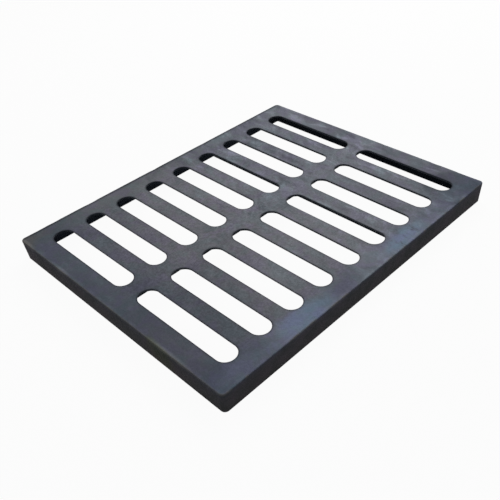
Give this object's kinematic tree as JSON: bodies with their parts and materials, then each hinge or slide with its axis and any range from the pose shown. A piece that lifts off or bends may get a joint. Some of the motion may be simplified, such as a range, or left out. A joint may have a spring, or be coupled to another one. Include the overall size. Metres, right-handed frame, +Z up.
{
  "type": "trench drain grate",
  "caption": "Rectangular cast grate with rows of long round-ended slots, a shallow drafted skirt and underside ribs; drops into a frame over a drainage trench.",
  "frame": {"origin": "middle of the plane that the skirt's foot rests on", "axes": "+X along the long side, across the slots; +Y along the slots; +Z up, out of the walking face"},
  "size_m": [0.4998, 0.3998, 0.03],
  "materials": {
    "coated_iron": "thin black coating, satin, slate grey where feet and sand have rubbed the top"
  },
  "bodies": {
    "root": {"grate": "coated_iron"}
  },
  "joints": []
}
